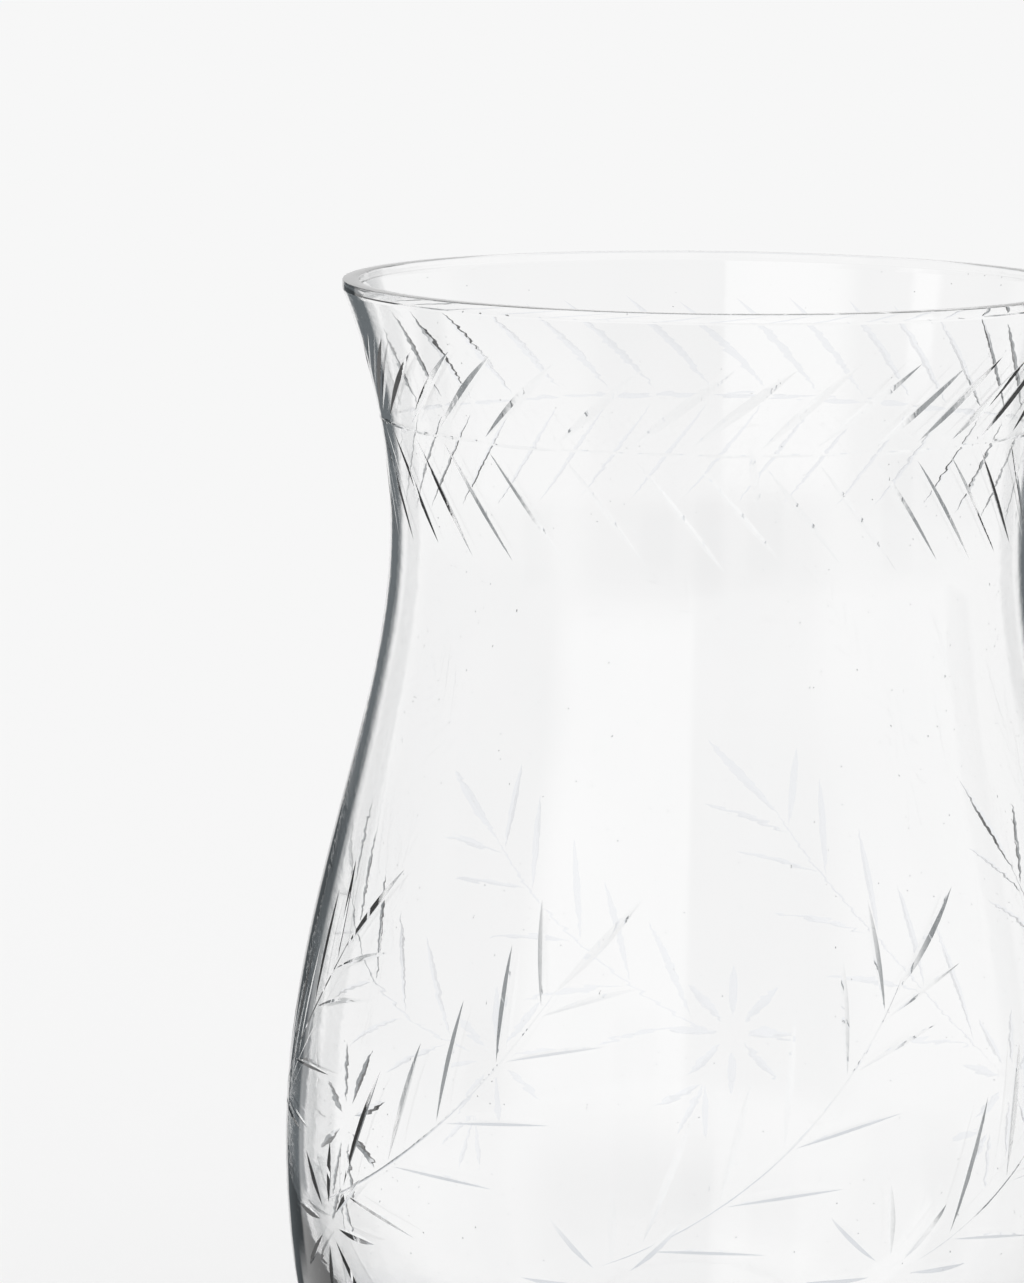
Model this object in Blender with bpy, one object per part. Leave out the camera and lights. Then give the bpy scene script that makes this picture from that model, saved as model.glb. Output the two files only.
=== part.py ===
"""Footed mixing glass: a blown bowl, a glass collar and an applied foot."""
import math

import bmesh
import bpy
from mathutils import Vector
from mathutils.geometry import interpolate_bezier

# ---- driving dimensions, in metres ----
RIM_RADIUS = 0.0465            # outside of the lip
WAIST_RADIUS = 0.0404          # narrowest place, below the flared mouth
BELLY_RADIUS = 0.0535          # widest place
BOWL_HEIGHT = 0.167            # underside of the bowl to the top of the lip
WAIST_DROP = 0.032             # below the lip
BELLY_DROP = 0.111             # below the lip
WALL = 0.0022                  # blown wall, measured level
BASE_THICKNESS = 0.009         # weighted bottom of the bowl, on the axis

COLLAR_RADIUS = 0.0170         # widest place of the collar's bulge
COLLAR_SEAT_RADIUS = 0.0140    # round seats above and below the collar
COLLAR_HEIGHT = 0.0045

FOOT_RADIUS = 0.0410
FOOT_HEIGHT = 0.0070           # table to the collar's seat
FOOT_EDGE = 0.0030             # thickness of the foot's rounded edge
FOOT_RING_WIDTH = 0.0060       # flat ground ring that the glass stands on
FOOT_HOLLOW_DEPTH = 0.0010     # shallow hollow inside the ring

JOINT_GAP = 0.0003             # between pieces that are joined hot on the real glass

# ---- shape of the curves: handle lengths as a share of the stretch ----
WAIST_HANDLE = 0.30
BELLY_HANDLE_UP = 0.40
BELLY_HANDLE_DOWN = 0.65
BOTTOM_HANDLE = 0.65
FOOT_HANDLE = 0.55

# ---- facets ----
AROUND = 60                    # round the axis
ALONG = 9                      # along each curved stretch
ROUND_STEPS = 4                # along each small rounding

COLLAR_BOTTOM = FOOT_HEIGHT + JOINT_GAP
BOWL_BOTTOM = COLLAR_BOTTOM + COLLAR_HEIGHT + JOINT_GAP
LIP_TOP = BOWL_BOTTOM + BOWL_HEIGHT
WAIST_HEIGHT = LIP_TOP - WAIST_DROP
BELLY_HEIGHT = LIP_TOP - BELLY_DROP


def curve(start, handle_a, handle_b, end, count=ALONG):
    """Points of one curved stretch, without its first point."""
    corners = [Vector((x, 0.0, z)) for x, z in (start, handle_a, handle_b, end)]
    return [(p.x, p.z) for p in interpolate_bezier(*corners, count + 1)[1:]]


def rounding(centre, across, up, start, end):
    """Points on an elliptical rounding from the angle start to end, in degrees."""
    turns = [math.radians(start + (end - start) * i / ROUND_STEPS) for i in range(ROUND_STEPS + 1)]
    return [(centre[0] + across * math.cos(a), centre[1] + up * math.sin(a)) for a in turns]


def mouth_curve(waist_radius, rim_radius, rim_height):
    """The flare, from the rim down to the waist: its slope dies away evenly."""
    rise = rim_height - WAIST_HEIGHT
    half_way = (waist_radius, WAIST_HEIGHT + rise / 2)
    # a parabola's two Bezier handles lie two thirds of the way to this corner
    upper = (rim_radius + (half_way[0] - rim_radius) * 2 / 3, rim_height + (half_way[1] - rim_height) * 2 / 3)
    lower = (waist_radius, WAIST_HEIGHT + (half_way[1] - WAIST_HEIGHT) * 2 / 3)
    return curve((rim_radius, rim_height), upper, lower, (waist_radius, WAIST_HEIGHT))


def body_curve(waist_radius, belly_radius):
    """From the waist down to the belly."""
    fall = WAIST_HEIGHT - BELLY_HEIGHT
    return curve(
        (waist_radius, WAIST_HEIGHT),
        (waist_radius, WAIST_HEIGHT - WAIST_HANDLE * fall),
        (belly_radius, BELLY_HEIGHT + BELLY_HANDLE_UP * fall),
        (belly_radius, BELLY_HEIGHT),
    )


def bottom_curve(belly_radius, end_radius, end_height):
    """From the belly down and in to a level bottom."""
    fall = BELLY_HEIGHT - end_height
    run = belly_radius - end_radius
    return curve(
        (belly_radius, BELLY_HEIGHT),
        (belly_radius, BELLY_HEIGHT - BELLY_HANDLE_DOWN * fall),
        (end_radius + BOTTOM_HANDLE * run, end_height),
        (end_radius, end_height),
    )


def bowl_outline():
    lip = WALL / 2
    lip_height = LIP_TOP - lip
    inside = (RIM_RADIUS - WALL, WAIST_RADIUS - WALL, BELLY_RADIUS - WALL)
    outer = mouth_curve(WAIST_RADIUS, RIM_RADIUS, lip_height)
    outer += body_curve(WAIST_RADIUS, BELLY_RADIUS)
    outer += bottom_curve(BELLY_RADIUS, COLLAR_SEAT_RADIUS, BOWL_BOTTOM)
    inner = mouth_curve(inside[1], inside[0], lip_height)
    inner += body_curve(inside[1], inside[2])
    inner += bottom_curve(inside[2], 0.0, BOWL_BOTTOM + BASE_THICKNESS)
    over_lip = rounding((RIM_RADIUS - lip, lip_height), lip, lip, 180, 0)
    return list(reversed(inner)) + over_lip + outer + [(0.0, BOWL_BOTTOM)]


def collar_outline():
    middle = COLLAR_BOTTOM + COLLAR_HEIGHT / 2
    bulge = COLLAR_RADIUS - COLLAR_SEAT_RADIUS
    side = rounding((COLLAR_SEAT_RADIUS, middle), bulge, COLLAR_HEIGHT / 2, 90, -90)
    return [(0.0, middle + COLLAR_HEIGHT / 2)] + side + [(0.0, COLLAR_BOTTOM)]


def foot_outline():
    edge = FOOT_EDGE / 2
    edge_centre = (FOOT_RADIUS - edge, edge)
    run = edge_centre[0] - COLLAR_SEAT_RADIUS
    top = curve(
        (COLLAR_SEAT_RADIUS, FOOT_HEIGHT),
        (COLLAR_SEAT_RADIUS + FOOT_HANDLE * run, FOOT_HEIGHT),
        (edge_centre[0] - FOOT_HANDLE * run, FOOT_EDGE),
        (edge_centre[0], FOOT_EDGE),
    )[:-1]
    ring_inside = edge_centre[0] - FOOT_RING_WIDTH
    hollow = curve(
        (ring_inside, 0.0),
        (ring_inside * (1 - FOOT_HANDLE), FOOT_HOLLOW_DEPTH),
        (ring_inside * FOOT_HANDLE, FOOT_HOLLOW_DEPTH),
        (0.0, FOOT_HOLLOW_DEPTH),
    )
    seat = [(0.0, FOOT_HEIGHT), (COLLAR_SEAT_RADIUS, FOOT_HEIGHT)]
    return seat + top + rounding(edge_centre, edge, edge, 90, -90) + [(ring_inside, 0.0)] + hollow


def glass(name, tint):
    material = bpy.data.materials.new(name)
    material.use_nodes = True
    shader = material.node_tree.nodes["Principled BSDF"]
    shader.inputs["Base Color"].default_value = (*tint, 1.0)
    shader.inputs["Roughness"].default_value = 0.02
    shader.inputs["Metallic"].default_value = 0.0
    shader.inputs["IOR"].default_value = 1.52
    shader.inputs["Transmission Weight"].default_value = 1.0
    return material


def revolve(name, outline, material):
    """A closed round solid from its outline in the XZ plane, axis on Z."""
    mesh = bpy.data.meshes.new(name)
    body = bmesh.new()
    points = [body.verts.new((x, 0.0, z)) for x, z in outline]
    for a, b in zip(points, points[1:]):
        body.edges.new((a, b))
    bmesh.ops.spin(
        body, geom=body.verts[:] + body.edges[:], cent=(0, 0, 0), axis=(0, 0, 1),
        angle=2 * math.pi, steps=AROUND, use_merge=True,
    )
    bmesh.ops.remove_doubles(body, verts=body.verts, dist=1e-6)
    bmesh.ops.recalc_face_normals(body, faces=body.faces)
    body.to_mesh(mesh)
    body.free()
    mesh.materials.append(material)
    mesh.shade_smooth()
    mesh.set_sharp_from_angle(angle=math.radians(35))
    piece = bpy.data.objects.new(name, mesh)
    bpy.context.scene.collection.objects.link(piece)
    return piece


def main():
    for old in list(bpy.data.objects):
        bpy.data.objects.remove(old, do_unlink=True)
    revolve("bowl", bowl_outline(), glass("bowl_glass", (0.96, 0.97, 0.97)))
    revolve("collar", collar_outline(), glass("collar_glass", (0.95, 0.97, 0.97)))
    revolve("foot", foot_outline(), glass("foot_glass", (0.94, 0.96, 0.96)))


main()
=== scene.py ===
import math
import random

import bmesh
import bpy
import numpy as np
from mathutils import Matrix, Vector
from mathutils.geometry import interpolate_bezier


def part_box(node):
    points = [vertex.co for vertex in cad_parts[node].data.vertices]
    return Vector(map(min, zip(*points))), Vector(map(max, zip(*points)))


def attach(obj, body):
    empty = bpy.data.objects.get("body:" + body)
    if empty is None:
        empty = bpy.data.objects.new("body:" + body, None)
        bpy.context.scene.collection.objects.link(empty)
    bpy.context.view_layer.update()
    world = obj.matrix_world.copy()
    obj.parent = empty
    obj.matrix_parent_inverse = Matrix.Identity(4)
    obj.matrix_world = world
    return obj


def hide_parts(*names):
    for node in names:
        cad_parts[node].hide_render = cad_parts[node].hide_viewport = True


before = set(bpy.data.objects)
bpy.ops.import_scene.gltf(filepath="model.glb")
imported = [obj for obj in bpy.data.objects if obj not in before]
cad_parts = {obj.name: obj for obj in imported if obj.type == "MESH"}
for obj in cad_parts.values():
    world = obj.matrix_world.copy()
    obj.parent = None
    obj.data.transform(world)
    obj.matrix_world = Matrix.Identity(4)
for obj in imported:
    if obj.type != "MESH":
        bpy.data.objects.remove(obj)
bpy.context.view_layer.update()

# All lengths are in metres unless a name says mm. Drops are heights below the lip.
mm = 0.001
scene = bpy.context.scene
chance = random.Random(7)

bowlLow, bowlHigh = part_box("bowl")
collarLow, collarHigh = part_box("collar")
footLow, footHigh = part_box("foot")
lipTop = bowlHigh.z
bowlBottom = bowlLow.z
bellyRadius = bowlHigh.x

bowlShape = {
    "rimRadius": 46.5 * mm,
    "waistRadius": 40.4 * mm,
    "waistDrop": 32 * mm,
    "bellyDrop": 111 * mm,
    # the wall at a few drops below the lip, both in mm: thick lip, thin waist, thick bottom
    "walls": ((0, 2.1), (8, 2.0), (16, 1.6), (24, 1.25), (32, 1.1), (55, 1.05), (68, 1.3),
              (80, 1.7), (92, 1.95), (103, 2.2), (111, 2.25), (170, 2.25)),
    "baseThickness": 9 * mm,
    "waistHandle": 0.30,
    "bellyHandleUp": 0.40,
    "bellyHandleDown": 0.65,
    "bottomHandle": 0.65,
    "around": 240,
    "lipDepth": 1.1 * mm,      # the last stretch below the lip is straight
    "lipRounding": 0.14 * mm,  # the lip is ground flat, then softened
    "rows": {"mouth": 18, "body": 26, "bottom": 20, "lip": 4},
    "fineRows": {"mouth": 300, "body": 500, "bottom": 500},   # for placing the cuts
    "seatRadius": 14 * mm,     # where the bowl sits on the collar
    "smoothing": 12,           # mm over which the wall's changes are rounded off
}
seatRadius = bowlShape["seatRadius"]
waistHeight = lipTop - bowlShape["waistDrop"]
bellyHeight = lipTop - bowlShape["bellyDrop"]


def curved(start, handleA, handleB, end, count):
    # points of one curved stretch of the outline, without its first point
    corners = [Vector((x, 0, z)) for x, z in (start, handleA, handleB, end)]
    return [(p.x, p.z) for p in interpolate_bezier(*corners, count + 1)[1:]]


def mouthCurve(waist, rim, top, count):
    middle = (waist, (top + waistHeight) / 2)
    upper = (rim + (middle[0] - rim) * 2 / 3, top + (middle[1] - top) * 2 / 3)
    lower = (waist, waistHeight + (middle[1] - waistHeight) * 2 / 3)
    return curved((rim, top), upper, lower, (waist, waistHeight), count)


def bodyCurve(waist, belly, count):
    fall = waistHeight - bellyHeight
    return curved((waist, waistHeight), (waist, waistHeight - bowlShape["waistHandle"] * fall),
                  (belly, bellyHeight + bowlShape["bellyHandleUp"] * fall), (belly, bellyHeight), count)


def bottomCurve(belly, end, low, count):
    fall = bellyHeight - low
    return curved((belly, bellyHeight), (belly, bellyHeight - bowlShape["bellyHandleDown"] * fall),
                  (end + bowlShape["bottomHandle"] * (belly - end), low), (end, low), count)


def outerCurve(count):
    # the outside of the bowl from just under the lip to its seat on the collar
    waist, underLip = bowlShape["waistRadius"], lipTop - bowlShape["lipDepth"]
    return (mouthCurve(waist, bowlShape["rimRadius"], underLip, count["mouth"])
            + bodyCurve(waist, bellyRadius, count["body"])
            + bottomCurve(bellyRadius, seatRadius, bowlBottom, count["bottom"]))


def innerCurve(count):
    # the inside follows the outside by the wall's thickness, then closes over the heavy bottom
    upper = outerCurve({**count, "bottom": 1})[:-1]
    sides = [(x - wallAt(z), z) for x, z in upper]
    floor = bowlBottom + bowlShape["baseThickness"]
    return sides + bottomCurve(sides[-1][0], 0, floor, count["bottom"])


def smoothWalls():
    # thickness for every half millimetre, with the corners between the given values rounded off
    drops, walls = zip(*bowlShape["walls"])
    step = 0.5
    fine = np.arange(-20, 190, step)
    window = np.hanning(int(bowlShape["smoothing"] / step) + 1)
    return fine, np.convolve(np.interp(fine, drops, walls), window / window.sum(), "same")


wallDrops, wallSizes = smoothWalls()


def wallAt(height):
    return float(np.interp((lipTop - height) / mm, wallDrops, wallSizes)) * mm


fineOuter = np.array(outerCurve(bowlShape["fineRows"])[::-1])      # lowest first, so heights rise
fineSlope = np.gradient(fineOuter[:, 0], fineOuter[:, 1])


def outerRadius(height):
    return float(np.interp(height, fineOuter[:, 1], fineOuter[:, 0]))


def outerNormal(turn, height):
    slope = float(np.interp(height, fineOuter[:, 1], fineSlope))
    return Vector((math.sin(turn), -math.cos(turn), -slope)).normalized()


def onGlass(angle, drop):
    # a point on the outside of the bowl: angle in degrees from the front towards +X, drop in mm
    turn, height = math.radians(angle), lipTop - drop * mm
    radius = outerRadius(height)
    point = Vector((radius * math.sin(turn), -radius * math.cos(turn), height))
    return point, outerNormal(turn, height)


def spun(name, outline, around):
    # a closed round solid from its outline in the XZ plane
    shape = bmesh.new()
    points = [shape.verts.new((x, 0, z)) for x, z in outline]
    for a, b in zip(points, points[1:]):
        shape.edges.new((a, b))
    bmesh.ops.spin(shape, geom=shape.verts[:] + shape.edges[:], cent=(0, 0, 0), axis=(0, 0, 1),
                   angle=2 * math.pi, steps=around, use_merge=True)
    bmesh.ops.remove_doubles(shape, verts=shape.verts, dist=1e-6)
    bmesh.ops.recalc_face_normals(shape, faces=shape.faces)
    mesh = bpy.data.meshes.new(name)
    shape.to_mesh(mesh)
    shape.free()
    mesh.shade_smooth()
    piece = bpy.data.objects.new(name, mesh)
    scene.collection.objects.link(piece)
    return piece


glassFinish = {
    "clear": (0.996, 0.996, 0.996),
    "tint": (0.986, 0.987, 0.987),
    "ior": 1.52,
    "streaks": 70,             # slow waves of hand-blown glass, per metre
    "streakStretch": (1, 1, 0.45),
    "streakHeight": 0.00004,
    "haze": 0.012,             # roughness where a wave is thickest
    "ripples": 900,            # fine tool ripples, per metre
    "rippleStretch": (0.32, 0.32, 1.1),
    "rippleHeight": 0.000006,
    "seeds": 620,              # tiny bubbles and pits, cells per metre
    "seedRadius": 0.065,       # as a share of a cell
    "seedHeight": 0.00005,
    "seedShare": 0.62,         # cells above this share have a seed
}
cutFinish = {
    "colour": (0.985, 0.988, 0.990),
    "worn": (0.95, 0.957, 0.96),
    "paintedBlueShade": (0.87, 0.89, 0.93),    # painted bluish shade for the cuts on the side away from the window
    "paintedShadeFrom": (0, 20 * mm),      # behind the axis, where the painted shade begins and is full
    "roughness": (0.01, 0.06),
    "grain": 2600,
    "grainHeight": 0.0000015,
}


def newFinish(name):
    finish = bpy.data.materials.new(name)
    finish.use_nodes = True
    nodes, links = finish.node_tree.nodes, finish.node_tree.links
    shader = nodes["Principled BSDF"]
    shader.inputs["Metallic"].default_value = 0
    shader.inputs["IOR"].default_value = glassFinish["ior"]
    shader.inputs["Transmission Weight"].default_value = 1
    place = nodes.new("ShaderNodeTexCoord")
    return finish, nodes, links, shader, place.outputs["Object"]


def bumped(nodes, links, height, distance, under=None):
    bump = nodes.new("ShaderNodeBump")
    bump.inputs["Strength"].default_value = 1
    bump.inputs["Distance"].default_value = distance
    links.new(height, bump.inputs["Height"])
    if under:
        links.new(under, bump.inputs["Normal"])
    return bump.outputs["Normal"]


def noise(nodes, links, place, scale, detail=2.0, stretch=(1, 1, 1)):
    spread = nodes.new("ShaderNodeMapping")
    spread.inputs["Scale"].default_value = stretch
    links.new(place, spread.inputs["Vector"])
    pattern = nodes.new("ShaderNodeTexNoise")
    pattern.inputs["Scale"].default_value = scale
    pattern.inputs["Detail"].default_value = detail
    links.new(spread.outputs["Vector"], pattern.inputs["Vector"])
    return pattern.outputs["Fac"]


def ranged(nodes, links, value, low, high, toLow, toHigh):
    step = nodes.new("ShaderNodeMapRange")
    step.interpolation_type = "SMOOTHSTEP"
    sockets = ("From Min", "From Max", "To Min", "To Max")
    for socket, number in zip(sockets, (low, high, toLow, toHigh)):
        step.inputs[socket].default_value = number
    links.new(value, step.inputs["Value"])
    return step.outputs["Result"]


def blended(nodes, links, share, colourA, colourB):
    # each colour is three numbers or the output of another node
    mix = nodes.new("ShaderNodeMix")
    mix.data_type = "RGBA"
    for socket, colour in (("A", colourA), ("B", colourB)):
        if isinstance(colour, tuple):
            mix.inputs[socket].default_value = (*colour, 1)
        else:
            links.new(colour, mix.inputs[socket])
    links.new(share, mix.inputs["Factor"])
    return mix.outputs["Result"]


def sums(nodes, links, operation, *values):
    # each value is a number or the output of another node
    node = nodes.new("ShaderNodeMath")
    node.operation = operation
    for socket, value in zip(node.inputs, values):
        if isinstance(value, (int, float)):
            socket.default_value = value
        else:
            links.new(value, socket)
    return node.outputs["Value"]


def parted(nodes, links, node, socket, value):
    # a vector or a colour, taken apart into its three numbers
    split = nodes.new(node)
    links.new(value, split.inputs[socket])
    return split.outputs


def blownGlass():
    finish, nodes, links, shader, place = newFinish("blown_glass")
    slow = noise(nodes, links, place, glassFinish["streaks"], 1.0, glassFinish["streakStretch"])
    tone = ranged(nodes, links, slow, 0.35, 0.7, 0, 1)
    colour = blended(nodes, links, tone, glassFinish["clear"], glassFinish["tint"])
    links.new(colour, shader.inputs["Base Color"])
    haze = ranged(nodes, links, slow, 0.3, 0.8, 0, glassFinish["haze"])
    links.new(haze, shader.inputs["Roughness"])
    waves = bumped(nodes, links, slow, glassFinish["streakHeight"])
    fine = noise(nodes, links, place, glassFinish["ripples"], 1.0, glassFinish["rippleStretch"])
    rippled = bumped(nodes, links, fine, glassFinish["rippleHeight"], waves)
    cells = nodes.new("ShaderNodeTexVoronoi")
    cells.inputs["Scale"].default_value = glassFinish["seeds"]
    links.new(place, cells.inputs["Vector"])
    dome = ranged(nodes, links, cells.outputs["Distance"], 0, glassFinish["seedRadius"], 1, 0)
    lot = parted(nodes, links, "ShaderNodeSeparateColor", "Color", cells.outputs["Color"])["Red"]
    picked = sums(nodes, links, "GREATER_THAN", lot, glassFinish["seedShare"])
    seeds = sums(nodes, links, "MULTIPLY", dome, picked)
    seeded = bumped(nodes, links, seeds, glassFinish["seedHeight"], rippled)
    links.new(seeded, shader.inputs["Normal"])
    return finish


def wheelCutGlass():
    finish, nodes, links, shader, place = newFinish("wheel_cut_glass")
    grain = noise(nodes, links, place, cutFinish["grain"], 3.0)
    tone = ranged(nodes, links, grain, 0.35, 0.7, 0, 1)
    clean = blended(nodes, links, tone, cutFinish["colour"], cutFinish["worn"])
    # cuts behind the axis get a painted bluish shade mixed into their colour, standing in for the side
    # away from the window
    behind = parted(nodes, links, "ShaderNodeSeparateXYZ", "Vector", place)["Y"]
    away = ranged(nodes, links, behind, *cutFinish["paintedShadeFrom"], 0, 1)
    links.new(blended(nodes, links, away, clean, cutFinish["paintedBlueShade"]), shader.inputs["Base Color"])
    rough = ranged(nodes, links, grain, 0.3, 0.75, *cutFinish["roughness"])
    links.new(rough, shader.inputs["Roughness"])
    links.new(bumped(nodes, links, grain, cutFinish["grainHeight"]), shader.inputs["Normal"])
    return finish


cutShape = {
    "lift": 0.04 * mm,         # how far a cutting tool stands out of the surface
    "slices": 16,              # along each cut
    "farFrom": 95,             # degrees from the front where the far side's cuts begin
    "overrun": 0.03,           # past each end, as a share of the length
    "farSize": (1.15, 1.1),    # their share of width and depth
    "stemSlices": 40,
}


def toolShape(slices):
    # a three-sided prism along Z from -1 to 1, sliced across, for one stroke of the wheel
    tool = bmesh.new()
    bmesh.ops.create_cone(tool, cap_ends=True, segments=3, radius1=1, radius2=1, depth=2)
    along = [e for e in tool.edges if abs(e.verts[0].co.z - e.verts[1].co.z) > 1]
    bmesh.ops.subdivide_edges(tool, edges=along, cuts=slices - 1, use_grid_fill=False)
    bmesh.ops.recalc_face_normals(tool, faces=tool.faces)
    mesh = bpy.data.meshes.new("stroke_tool")
    tool.to_mesh(mesh)
    tool.free()
    return mesh


def stroke(cuts, tool, route, width, depth, blunt=2.0, far=cutShape["farSize"]):
    # one wheel cut, deepest at its middle and running out at both ends;
    # route(0..1) gives its (angle, drop), and width and depth are in mm
    width, depth = width * mm, depth * mm
    if abs((route(0.5)[0] + 180) % 360 - 180) > cutShape["farFrom"]:
        width, depth = width * far[0], depth * far[1]
    first = len(cuts.verts)
    cuts.from_mesh(tool)
    cuts.verts.ensure_lookup_table()
    keel = min(v.co.y for v in tool.vertices)
    spread = width / 2 / depth
    for vert in cuts.verts[first:]:
        share = (vert.co.z + 1) / 2 * (1 + 2 * cutShape["overrun"]) - cutShape["overrun"]
        here, up = onGlass(*route(share))
        ahead, _ = onGlass(*route(share + 0.01))
        side = (ahead - here).cross(up).normalized()
        deep = depth * (1 - abs(2 * share - 1) ** blunt)
        if vert.co.y <= keel + 1e-5 and abs(vert.co.x) > 0.1:
            # the two top corners
            reach = math.copysign((deep + cutShape["lift"]) * spread, vert.co.x)
            vert.co = here + up * cutShape["lift"] + side * reach
        else:
            vert.co = here - up * deep


def straight(start, end, bow=0.0):
    # a straight route on the glass between two (angle, drop) points; bow bends it, in mm
    angle, drop = end[0] - start[0], end[1] - start[1]

    def route(share):
        bend = bow * 4 * share * (1 - share)
        return start[0] + angle * share, start[1] + drop * share - bend
    return route


def degreesFor(arc, drop):
    # the angle that an arc in mm spans at this height
    return math.degrees(arc * mm / outerRadius(lipTop - drop * mm))


band = {
    "line": 17.0,              # drop of the line that the leaves spring from, mm
    "front": [-60, -51, -40, -25.5, -12.7, -3, 8, 17.3, 27.3, 35.5, 43, 50.5],    # angles
    "count": 36,               # pairs of leaves in all; the others are spread over the rest
    # each stroke's ends: angle from the pair's own angle, and drop in mm
    "upper": {"start": (0.2, 16.2), "end": (15.8, 6.4), "width": 1.25, "depth": 0.23},
    "lower": {"start": (0.6, 17.9), "end": (15.6, 31.0), "width": 0.78, "depth": 0.14},
    "farSize": (0.7, 0.55),    # share of width and depth on the far side
    "lineWidth": 0.42,
    "lineDepth": 0.05,
    "join": {"start": (6.4, 16.0), "end": (8.2, 24.0), "width": 1.15, "depth": 0.15},
}


def cutBand(cuts, tool):
    starts = list(band["front"])
    rest = band["count"] - len(starts)
    gap = (360 + starts[0] - starts[-1]) / (rest + 1)
    starts += [starts[-1] + gap * (k + 1) + chance.uniform(-0.9, 0.9) for k in range(rest)]
    for k, angle in enumerate(starts):
        for leaf in (band["upper"], band["lower"]):
            shake = chance.uniform(-0.7, 0.7)
            start = (angle + leaf["start"][0], leaf["start"][1] + chance.uniform(-0.3, 0.3))
            end = (angle + leaf["end"][0] + shake, leaf["end"][1] + chance.uniform(-0.6, 0.6))
            size = chance.uniform(0.9, 1.1)
            stroke(cuts, tool, straight(start, end), leaf["width"] * size, leaf["depth"] * size,
                   far=band["farSize"])
        following = starts[k + 1] if k + 1 < len(starts) else starts[0] + 360
        level = band["line"] + chance.uniform(-0.15, 0.15)
        stroke(cuts, tool, straight((angle + 0.3, level), (following - 0.3, level)),
               band["lineWidth"], band["lineDepth"], 4)
    join = band["join"]
    stroke(cuts, tool, straight(join["start"], join["end"]), join["width"], join["depth"])


spray = {
    # for each spray the angle of its stem's top, the depth of its cuts as a share,
    # where its star is (angle and drop from the stem's foot), its size and its depth
    "each": (
        {"angle": -101.5, "cuts": 0.5, "star": (-1.4, 0.4), "size": 1.0, "starCuts": 0.4},
        {"angle": -60.5, "cuts": 1.0, "star": (-6.5, 2.0), "size": 1.0, "starCuts": 1.0},
        {"angle": -18.9, "cuts": 1.0, "star": (3.4, 2.0), "size": 1.0, "starCuts": 1.0},
        {"angle": 28.9, "cuts": 1.0, "star": (3.6, 1.7), "size": 1.12, "starCuts": 0.8, "spread": 8},
        {"angle": 70.2, "cuts": 0.9, "star": (-1.4, 0.4), "size": 1.0, "starCuts": 1.0},
        {"angle": 122.0, "cuts": 0.5, "star": (-1.4, 0.4), "size": 1.0, "starCuts": 0.8},
        {"angle": 169.5, "cuts": 0.55, "star": (-1.4, 0.4), "size": 1.0, "starCuts": 0.5, "lift": 2.5},
        {"angle": 217.5, "cuts": 0.55, "star": (1.1, -2.1), "size": 0.9, "starCuts": 0.9},
    ),
    "endDrop": 78.6,           # drop of each stem's top; lift raises it, all in mm
    "stem": {"length": 54.5, "slopes": (22, 60), "width": 0.34, "depth": 0.06},
    # where the leaves leave the stem, how long they are and how they turn from it in degrees
    "left": {"at": (7.2, 18, 28.5, 40, 49), "lengths": (18, 17, 17, 15.5, 13.5),
             "turn": 38, "width": 1.0, "depth": 0.19},
    "right": {"at": (7.6, 18.4, 29, 40.5, 48.5), "lengths": (16, 16.6, 16, 14, 13.6),
              "turn": -36, "width": 0.72, "depth": 0.13},      # spread turns them back
    "top": {"gap": -2.6, "slope": 50, "length": 15.0, "width": 1.25, "depth": 0.21},
    "leafGap": 0.5,            # between a leaf and the stem
    "leafBow": 0.35,           # how far a leaf bends
}


def stemPoints(count=60):
    # the stem in mm from its top end, as (across, up, slope): its slope steepens evenly
    stem = spray["stem"]
    low, high = stem["slopes"]
    points, x, y = [], 0.0, 0.0
    step = stem["length"] / count
    for k in range(count + 1):
        slope = math.radians(low + (high - low) * k / count)
        points.append((x, y, slope))
        x, y = x + step * math.cos(slope), y + step * math.sin(slope)
    endX, endY = points[-1][0], points[-1][1]
    return [(px - endX, py - endY, slope) for px, py, slope in points]


def cutSpray(cuts, tool, stemTool, one):
    endDrop = spray["endDrop"] - one.get("lift", 0) + chance.uniform(-0.5, 0.5)
    points = stemPoints()
    stem, top = spray["stem"], spray["top"]

    def placed(x, y):
        drop = endDrop - y
        return one["angle"] + degreesFor(x, drop), drop

    def beyond(x, y, heading, reach):
        return x + reach * math.cos(heading), y + reach * math.sin(heading)

    def alongStem(share):
        inside = max(0.0, min(1.0, share))
        spot = inside * (len(points) - 1)
        k = min(int(spot), len(points) - 2)
        part = spot - k
        x, y = (points[k][i] + (points[k + 1][i] - points[k][i]) * part for i in (0, 1))
        return placed(*beyond(x, y, points[k][2], (share - inside) * stem["length"]))

    def cut(route, width, depth, *more):
        stroke(cuts, stemTool if more else tool, route, width, depth * one["cuts"], *more)

    cut(alongStem, stem["width"], stem["depth"], 6)
    for side, more in ((spray["left"], 0), (spray["right"], one.get("spread", 0))):
        for at, length in zip(side["at"], side["lengths"]):
            x, y, slope = points[round(at / stem["length"] * (len(points) - 1))]
            heading = slope + math.radians(side["turn"] + more + chance.uniform(-2, 2))
            long = length * chance.uniform(0.94, 1.04)
            start = placed(*beyond(x, y, heading, spray["leafGap"]))
            end = placed(*beyond(x, y, heading, long))
            cut(straight(start, end, spray["leafBow"]), side["width"], side["depth"])
    x, y = beyond(0, 0, points[-1][2], top["gap"])
    end = placed(*beyond(x, y, math.radians(top["slope"]), top["length"]))
    cut(straight(placed(x, y), end), top["width"], top["depth"])
    return alongStem(0)


star = {
    "petals": 8,
    "inner": 2.4,              # mm from the star's centre
    "outer": 10.8,
    "width": 1.2,
    "depth": 0.19,
    "sprig": {"at": (3.9, -7.6), "headings": (-92, -62, -24), "length": 8.5,
              "width": 0.95, "depth": 0.15},
}


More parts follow.
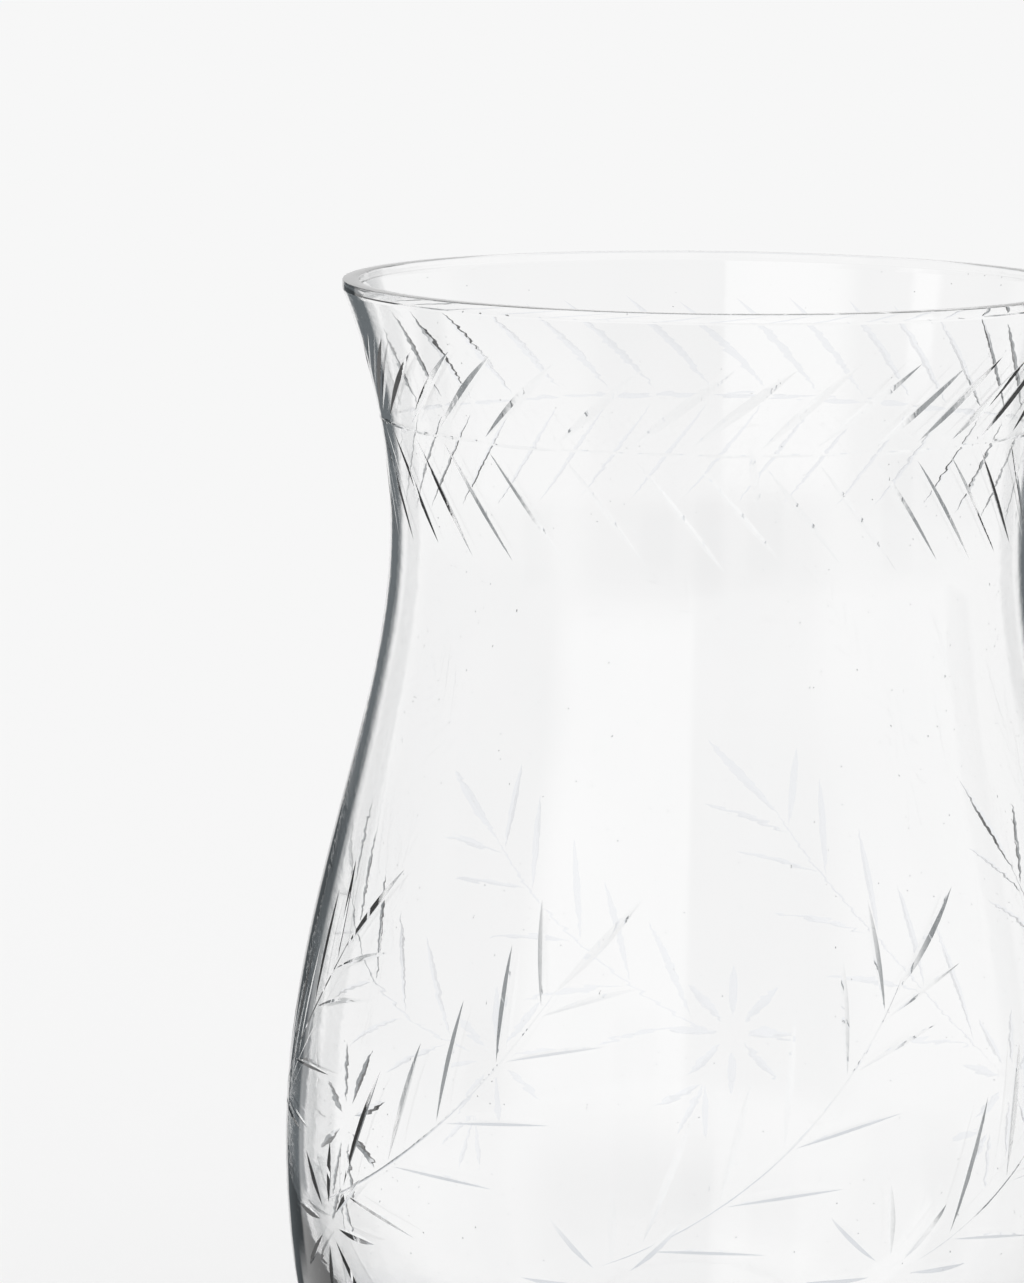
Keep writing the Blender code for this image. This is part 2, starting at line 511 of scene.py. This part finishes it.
def cutStar(cuts, tool, centre, size, share):
    def placed(x, y, heading, reach):
        x, y = x + reach * math.cos(heading), y + reach * math.sin(heading)
        drop = centre[1] - y
        return centre[0] + degreesFor(x, drop), drop

    size = size * chance.uniform(0.95, 1.05)
    for k in range(star["petals"]):
        heading = math.radians(90 + 360 * k / star["petals"])
        ends = [placed(0, 0, heading, star[edge] * size) for edge in ("inner", "outer")]
        stroke(cuts, tool, straight(*ends), star["width"], star["depth"] * share)
    sprig = star["sprig"]
    for heading in sprig["headings"]:
        ends = [placed(*sprig["at"], math.radians(heading), reach) for reach in (0, sprig["length"])]
        stroke(cuts, tool, straight(*ends), sprig["width"], sprig["depth"] * share)


def cuttingTools():
    cuts = bmesh.new()
    tool, stemTool = toolShape(cutShape["slices"]), toolShape(cutShape["stemSlices"])
    cutBand(cuts, tool)
    for one in spray["each"]:
        angle, drop = cutSpray(cuts, tool, stemTool, one)
        centre = angle + one["star"][0], drop + one["star"][1]
        cutStar(cuts, tool, centre, one["size"], one["starCuts"])
    print("strokes laid out")
    mesh = bpy.data.meshes.new("wheel")
    cuts.to_mesh(mesh)
    cuts.free()
    wheel = bpy.data.objects.new("wheel", mesh)
    scene.collection.objects.link(wheel)
    return wheel


def polished(mesh):
    # the blown surface keeps its true round normals right up to the edges of the flat-sided cuts
    normals = np.empty(len(mesh.loops) * 3, dtype=np.float32)
    mesh.corner_normals.foreach_get("vector", normals)
    normals = normals.reshape(-1, 3)
    points = np.empty(len(mesh.vertices) * 3, dtype=np.float32)
    mesh.vertices.foreach_get("co", points)
    points = points.reshape(-1, 3).astype(float)
    corners = np.empty(len(mesh.loops), dtype=np.int32)
    mesh.loops.foreach_get("vertex_index", corners)
    radius = np.hypot(points[:, 0], points[:, 1])
    target = np.interp(points[:, 2], fineOuter[:, 1], fineOuter[:, 0])
    slope = np.interp(points[:, 2], fineOuter[:, 1], fineSlope)
    low, high = bowlBottom + 6 * mm, lipTop - 2 * mm
    onSkin = (np.abs(radius - target) < 0.03 * mm) & (points[:, 2] > low) & (points[:, 2] < high)
    level = radius.clip(1e-9)
    away = np.column_stack((points[:, 0] / level, points[:, 1] / level, -slope))
    away /= np.linalg.norm(away, axis=1)[:, None]
    for face in mesh.polygons:
        if face.material_index != 0:
            normals[list(face.loop_indices)] = face.normal
            continue
        for loop in face.loop_indices:
            vert = corners[loop]
            if onSkin[vert]:
                normals[loop] = away[vert]
    mesh.normals_split_custom_set(normals.tolist())


def makeBowl(clear, cut):
    count = bowlShape["rows"]
    rim, soft, low = bowlShape["rimRadius"], bowlShape["lipRounding"], lipTop - bowlShape["lipDepth"]
    inside = rim - wallAt(low)
    turns = [math.pi / 2 * k / count["lip"] for k in range(count["lip"] + 1)]
    overLip = [(inside, low)]
    overLip += [(inside + soft - soft * math.cos(a), lipTop - soft + soft * math.sin(a)) for a in turns]
    overLip += [(rim - soft + soft * math.sin(a), lipTop - soft + soft * math.cos(a)) for a in turns]
    overLip += [(rim, low)]
    outline = innerCurve(count)[::-1] + overLip + outerCurve(count) + [(0, bowlBottom)]
    bowl = spun("cut_bowl", outline, bowlShape["around"])
    bowl.data.materials.append(clear)
    wheel = cuttingTools()
    wheel.data.materials.append(cut)
    carve = bowl.modifiers.new("wheel_cuts", "BOOLEAN")
    carve.operation = "DIFFERENCE"
    carve.solver = "EXACT"
    carve.use_self = True
    carve.material_mode = "TRANSFER"
    carve.object = wheel
    for shape in (bowl.data, wheel.data):
        shape.transform(Matrix.Scale(1 / mm, 4))       # the cutting is exact only on a large model
    shown = bowl.evaluated_get(bpy.context.evaluated_depsgraph_get())
    mesh = bpy.data.meshes.new_from_object(shown)
    mesh.transform(Matrix.Scale(mm, 4))
    bowl.modifiers.clear()
    bowl.data = mesh
    mesh.name = "cut_bowl"
    bpy.data.objects.remove(wheel, do_unlink=True)
    mesh.shade_smooth()
    mesh.set_sharp_from_angle(angle=math.radians(12))
    print("bowl cut:", len(mesh.polygons), "faces", [m.name for m in mesh.materials])
    polished(mesh)
    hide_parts("bowl")
    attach(bowl, "root")
    return bowl


lowerShape = {
    "overlap": 0.1 * mm,       # the pieces are fused, so each runs this far into the next
    "around": 160,
    "footEdge": 3 * mm,        # thickness of the foot's rounded edge
    "footHandle": 0.55,
    "ringWidth": 6 * mm,       # the ground ring that the glass stands on
    "hollow": 1 * mm,          # inside the ring
}


def makeCollar(clear):
    low, high = footHigh.z - lowerShape["overlap"], bowlBottom + lowerShape["overlap"]
    middle, half = (low + high) / 2, (high - low) / 2
    bulge = collarHigh.x - seatRadius
    turns = [math.pi / 2 - math.pi * k / 14 for k in range(15)]
    side = [(seatRadius + bulge * math.cos(a), middle + half * math.sin(a)) for a in turns]
    collar = spun("fused_collar", [(0, high)] + side + [(0, low)], lowerShape["around"])
    collar.data.set_sharp_from_angle(angle=math.radians(50))
    collar.data.materials.append(clear)
    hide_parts("collar")
    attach(collar, "root")
    return collar


def makeFoot(clear):
    edge = lowerShape["footEdge"] / 2
    centre = footHigh.x - edge
    run = centre - seatRadius
    handle = lowerShape["footHandle"]
    top = curved((seatRadius, footHigh.z), (seatRadius + handle * run, footHigh.z),
                 (centre - handle * run, edge * 2), (centre, edge * 2), 24)[:-1]
    turns = [math.pi / 2 - math.pi * k / 12 for k in range(13)]
    rounded = [(centre + edge * math.cos(a), edge + edge * math.sin(a)) for a in turns]
    ring = centre - lowerShape["ringWidth"]
    hollow = lowerShape["hollow"]
    under = curved((ring, 0), (ring * (1 - handle), hollow), (ring * handle, hollow), (0, hollow), 20)
    outline = [(0, footHigh.z), (seatRadius, footHigh.z)] + top + rounded + [(ring, 0)] + under
    foot = spun("ground_foot", outline, lowerShape["around"])
    foot.data.set_sharp_from_angle(angle=math.radians(30))
    foot.data.materials.append(clear)
    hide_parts("foot")
    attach(foot, "root")
    return foot


flagGrey = (0.150, 0.166, 0.176)
roomGrey = (0.72, 0.72, 0.73)
tableBlue = (0.68, 0.70, 0.73)
studio = {
    "paper": (0.930, 0.930, 0.930),      # what the floor and the backdrop show
    "floorPaint": 0.86,
    "floorSize": 60,
    "floorGap": 0.05 * mm,
    # what the glass sees, one over another: its name, its sides in degrees from the front
    # towards +X, its heights in degrees above level, its colour and its strength; the sides
    # and the heights are each given as fading in from, in to, out from and out to
    "cards": (
        ("room, left", (-128, -116, -58, -50), (-10, -6, 60, 80), (0.74, 0.74, 0.75), 1),
        ("room, right", (-8, -6, 95, 110), (-8, -5, 80, 89), roomGrey, 1),
        ("long window", (-8, -6, 95, 110), (-8, -5, 5, 26), (1.18, 1.18, 1.18), 1),
        ("softbox", (-57, -44, -5.5, -3.5), (-6, 3, 50, 62), (1.38, 1.38, 1.38), 1),
        ("strip light", (-89, -86, -78, -75), (10, 15, 50, 60), (1.40, 1.40, 1.40), 1),
        ("table's end", (-52, -36, 2, 8), (-75, -26, -9, -2), (0.55, 0.55, 0.56), 1),
        ("far floor", (166, 172, 180, 181), (-62, -50, -34, -27), tableBlue, 1),
        ("far floor", (-181, -180, -172, -166), (-62, -50, -34, -27), tableBlue, 1),
        # dark flags to the sides of each view through the glass, which draw its edges
        ("flag", (143.5, 147, 162, 165.5), (-38, -32, 22, 34), flagGrey, 1),
        ("flag", (-165.5, -162, -147, -143.5), (-21, -18.5, 22, 34), flagGrey, 1),
        ("flag", (-168, -165, -155, -152), (-37, -34, -19, -17.5), flagGrey, 1),
        ("flag", (-118, -115, -105, -102), (-37, -34, -19, -17.5), flagGrey, 0.55),
        ("flag", (12, 15, 25, 28), (-25, -22, -9, -7), flagGrey, 0.3),
        ("flag", (62, 65, 75, 78), (-25, -22, -9, -7), flagGrey, 0.3),
    ),
}


def makeStudio():
    world = bpy.data.worlds.new("studio")
    scene.world = world
    world.use_nodes = True
    world.cycles.sampling_method = "NONE"
    nodes, links = world.node_tree.nodes, world.node_tree.links
    nodes.clear()
    direction = nodes.new("ShaderNodeTexCoord").outputs["Generated"]
    along = parted(nodes, links, "ShaderNodeSeparateXYZ", "Vector", direction)
    front = sums(nodes, links, "MULTIPLY", along["Y"], -1)
    side = sums(nodes, links, "ARCTAN2", along["X"], front)      # 0 at the front
    height = sums(nodes, links, "ARCSINE", along["Z"])

    def patch(value, edges):
        a, b, c, d = (math.radians(v) for v in edges)
        inwards = ranged(nodes, links, value, a, b, 0, 1)
        return sums(nodes, links, "MULTIPLY", inwards, ranged(nodes, links, value, c, d, 1, 0))

    lit = studio["paper"]
    for _, sides, heights, colour, strength in studio["cards"]:
        share = sums(nodes, links, "MULTIPLY", patch(side, sides), patch(height, heights))
        share = sums(nodes, links, "MULTIPLY", share, strength)
        lit = blended(nodes, links, share, lit, colour)
    seen = nodes.new("ShaderNodeLightPath")
    # the paper and the floor are lit evenly; only glass sees the flags and the softbox
    plain = sums(nodes, links, "MAXIMUM", seen.outputs["Is Camera Ray"], seen.outputs["Is Diffuse Ray"])
    onPaint = tuple(c / studio["floorPaint"] for c in studio["paper"])
    evenLight = blended(nodes, links, seen.outputs["Is Diffuse Ray"], studio["paper"], onPaint)
    choose = blended(nodes, links, plain, lit, evenLight)
    background = nodes.new("ShaderNodeBackground")
    links.new(choose, background.inputs["Color"])
    output = nodes.new("ShaderNodeOutputWorld")
    links.new(background.outputs["Background"], output.inputs["Surface"])

    shape = bmesh.new()
    bmesh.ops.create_grid(shape, x_segments=1, y_segments=1, size=studio["floorSize"])
    bmesh.ops.translate(shape, verts=shape.verts, vec=(0, 0, footLow.z - studio["floorGap"]))
    mesh = bpy.data.meshes.new("floor")
    shape.to_mesh(mesh)
    shape.free()
    floor = bpy.data.objects.new("floor", mesh)
    scene.collection.objects.link(floor)
    paint = bpy.data.materials.new("pale_floor")
    paint.use_nodes = True
    shader = paint.node_tree.nodes["Principled BSDF"]
    shader.inputs["Base Color"].default_value = (studio["floorPaint"],) * 3 + (1,)
    shader.inputs["Roughness"].default_value = 1
    shader.inputs["Specular IOR Level"].default_value = 0
    mesh.materials.append(paint)
    floor.visible_transmission = False
    floor.visible_glossy = False


view = {
    "sensor": 36,
    "lens": 129.07,
    "back": 0.5772,            # from the glass's axis
    "up": 0.0493,              # above the lip
    "turns": (("Z", 2.467), ("X", 90 - 9.398), ("Z", 0.498)),     # in degrees, outermost first
    "nearest": 0.05,
    "farthest": 50,
}


def makeCamera():
    lens = bpy.data.cameras.new("camera")
    lens.sensor_width = view["sensor"]
    lens.lens = view["lens"]
    lens.clip_start, lens.clip_end = view["nearest"], view["farthest"]
    camera = bpy.data.objects.new("camera", lens)
    camera.location = (0, -view["back"], lipTop + view["up"])
    turn = Matrix.Identity(4)
    for axis, degrees in view["turns"]:
        turn = turn @ Matrix.Rotation(math.radians(degrees), 4, axis)
    camera.rotation_euler = turn.to_euler()
    scene.collection.objects.link(camera)
    scene.camera = camera


makeCamera()
makeStudio()
scene.view_settings.view_transform = "Standard"
scene.cycles.max_bounces = 32
scene.cycles.transmission_bounces = 24
print("studio ready")
clear, cut = blownGlass(), wheelCutGlass()
makeBowl(clear, cut)
makeCollar(clear)
makeFoot(clear)
print("pieces ready")
